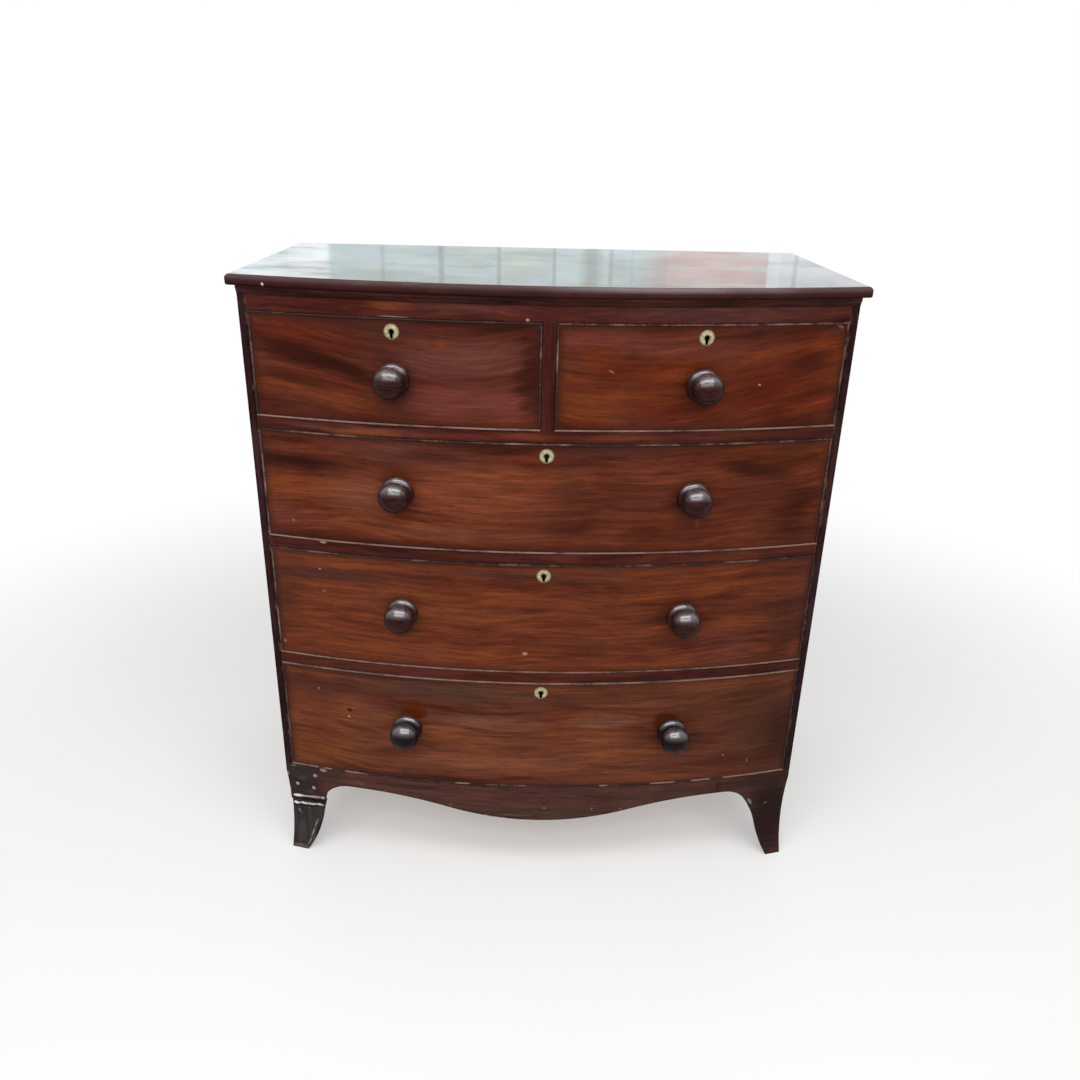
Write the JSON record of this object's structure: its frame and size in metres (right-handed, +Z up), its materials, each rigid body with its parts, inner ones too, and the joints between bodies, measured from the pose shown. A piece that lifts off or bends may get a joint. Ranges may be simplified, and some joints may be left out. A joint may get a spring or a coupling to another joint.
{
  "type": "bow front chest of drawers",
  "caption": "Bow-fronted chest with short drawers over graduated long drawers, cockbeaded fronts, turned knobs, keyed locks, a shaped apron and splayed bracket feet.",
  "frame": {"origin": "on the floor under the middle of the chest's bounding box", "axes": "+X to the right seen from the front, +Y from the bowed front to the back, +Z up; the drawers open towards -Y"},
  "size_m": [1.014, 0.578, 1.1254],
  "materials": {
    "top_mahogany": "French-polished mahogany veneer, gloss",
    "front_mahogany": "French-polished figured mahogany veneer, gloss",
    "cockbead_mahogany": "thin mahogany bead, polish worn off along its nose",
    "case_mahogany": "French-polished mahogany, semi-gloss",
    "base_mahogany": "darkened polished mahogany veneer",
    "mended_wood": "dark stained replacement wood",
    "knob_wood": "turned dark stained mahogany, gloss",
    "lining_pine": "planed pine, unfinished",
    "carcass_pine": "sawn pine, unfinished",
    "escutcheon_brass": "dull yellow brass",
    "lock_brass": "cast brass",
    "lock_iron": "iron lock case",
    "screw_steel": "bright steel screw heads"
  },
  "bodies": {
    "carcass": {"apron_front": "base_mahogany", "backboards": "carcass_pine", "bottom_board": "carcass_pine", "centre_divider": "case_mahogany", "centre_runner": "carcass_pine", "drawer_rails": "case_mahogany", "drawer_runners": "carcass_pine", "drawer_stops": "carcass_pine", "dustboards": "carcass_pine", "foot_front_left": "base_mahogany", "foot_front_right": "base_mahogany", "foot_rear_left": "base_mahogany", "foot_rear_right": "base_mahogany", "foot_repair_screws": "screw_steel", "foot_splice_left": "mended_wood", "frieze_rail": "case_mahogany", "glue_blocks": "carcass_pine", "kickers": "carcass_pine", "rear_top_rail": "carcass_pine", "side_left": "case_mahogany", "side_right": "case_mahogany", "side_skirts": "base_mahogany", "top_board": "top_mahogany", "top_moulding": "case_mahogany"},
    "drawer_top_left": {"drawer_top_left_box": "lining_pine", "drawer_top_left_cockbead": "cockbead_mahogany", "drawer_top_left_escutcheon": "escutcheon_brass", "drawer_top_left_front": "front_mahogany", "drawer_top_left_knob": "knob_wood", "drawer_top_left_lock": "lock_iron"},
    "bolt_top_left": {"drawer_top_left_bolt": "lock_brass"},
    "drawer_top_right": {"drawer_top_right_box": "lining_pine", "drawer_top_right_cockbead": "cockbead_mahogany", "drawer_top_right_escutcheon": "escutcheon_brass", "drawer_top_right_front": "front_mahogany", "drawer_top_right_knob": "knob_wood", "drawer_top_right_lock": "lock_iron"},
    "bolt_top_right": {"drawer_top_right_bolt": "lock_brass"},
    "drawer_second": {"drawer_second_box": "lining_pine", "drawer_second_cockbead": "cockbead_mahogany", "drawer_second_escutcheon": "escutcheon_brass", "drawer_second_front": "front_mahogany", "drawer_second_knobs": "knob_wood", "drawer_second_lock": "lock_iron"},
    "bolt_second": {"drawer_second_bolt": "lock_brass"},
    "drawer_third": {"drawer_third_box": "lining_pine", "drawer_third_cockbead": "cockbead_mahogany", "drawer_third_escutcheon": "escutcheon_brass", "drawer_third_front": "front_mahogany", "drawer_third_knobs": "knob_wood", "drawer_third_lock": "lock_iron"},
    "bolt_third": {"drawer_third_bolt": "lock_brass"},
    "drawer_bottom": {"drawer_bottom_box": "lining_pine", "drawer_bottom_cockbead": "cockbead_mahogany", "drawer_bottom_escutcheon": "escutcheon_brass", "drawer_bottom_front": "front_mahogany", "drawer_bottom_knobs": "knob_wood", "drawer_bottom_lock": "lock_iron"},
    "bolt_bottom": {"drawer_bottom_bolt": "lock_brass"}
  },
  "joints": [
    {"name": "drawer_top_left_slide", "type": "slide", "parent": "carcass", "child": "drawer_top_left", "axis": [0, -1, 0], "range_m": [0, 0.36]},
    {"name": "drawer_top_right_slide", "type": "slide", "parent": "carcass", "child": "drawer_top_right", "axis": [0, -1, 0], "range_m": [0, 0.36]},
    {"name": "drawer_second_slide", "type": "slide", "parent": "carcass", "child": "drawer_second", "axis": [0, -1, 0], "range_m": [0, 0.36]},
    {"name": "drawer_third_slide", "type": "slide", "parent": "carcass", "child": "drawer_third", "axis": [0, -1, 0], "range_m": [0, 0.36]},
    {"name": "drawer_bottom_slide", "type": "slide", "parent": "carcass", "child": "drawer_bottom", "axis": [0, -1, 0], "range_m": [0, 0.36]},
    {"name": "bolt_top_left_throw", "type": "slide", "parent": "drawer_top_left", "child": "bolt_top_left", "axis": [0, 0, 1], "range_m": [0, 0.007]},
    {"name": "bolt_top_right_throw", "type": "slide", "parent": "drawer_top_right", "child": "bolt_top_right", "axis": [0, 0, 1], "range_m": [0, 0.007]},
    {"name": "bolt_second_throw", "type": "slide", "parent": "drawer_second", "child": "bolt_second", "axis": [0, 0, 1], "range_m": [0, 0.007]},
    {"name": "bolt_third_throw", "type": "slide", "parent": "drawer_third", "child": "bolt_third", "axis": [0, 0, 1], "range_m": [0, 0.007]},
    {"name": "bolt_bottom_throw", "type": "slide", "parent": "drawer_bottom", "child": "bolt_bottom", "axis": [0, 0, 1], "range_m": [0, 0.007]}
  ]
}
